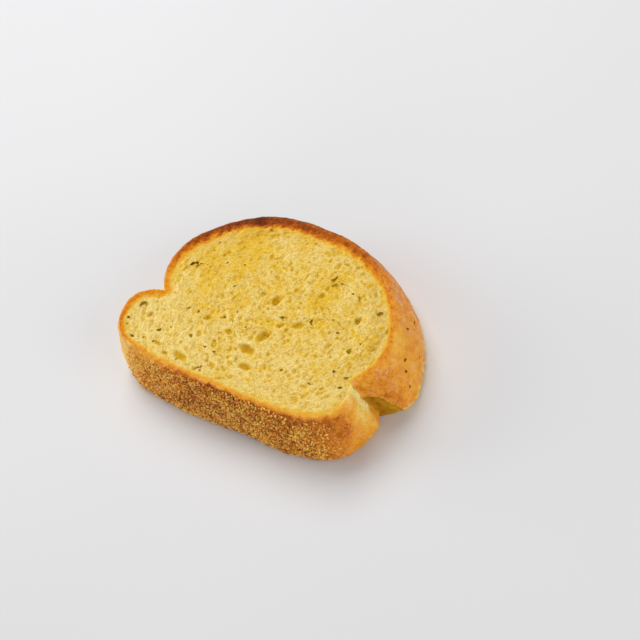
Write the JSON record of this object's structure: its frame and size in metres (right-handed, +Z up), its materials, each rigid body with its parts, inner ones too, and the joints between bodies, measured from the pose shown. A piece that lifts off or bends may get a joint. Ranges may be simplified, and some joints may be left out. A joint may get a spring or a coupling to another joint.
{
  "type": "garlic bread slice",
  "caption": "Thick toasted slice of garlic bread with a domed crust, flat bottom crust, buttered yellow crumb and herb flakes, lying on its cut face.",
  "frame": {"origin": "middle of the slice's bounding box, on the surface that it lies on", "axes": "+Z up out of the upper cut face, +X along the flat bottom crust, +Y from the bottom crust to the dome"},
  "size_m": [0.1301, 0.0933, 0.0265],
  "materials": {
    "buttered_crumb": "bread, not plastic: soft open crumb soaked with melted garlic butter, cream to golden yellow, satin where the butter shows",
    "baked_crust": "baked bread crust, smooth caramel to dark brown, low sheen; the bottom crust is rough with toasted coarse meal",
    "dried_herb": "dried parsley flakes, matt dark green to brown, thin and brittle"
  },
  "bodies": {
    "root": {"garlic_bread": "buttered_crumb"}
  },
  "joints": []
}
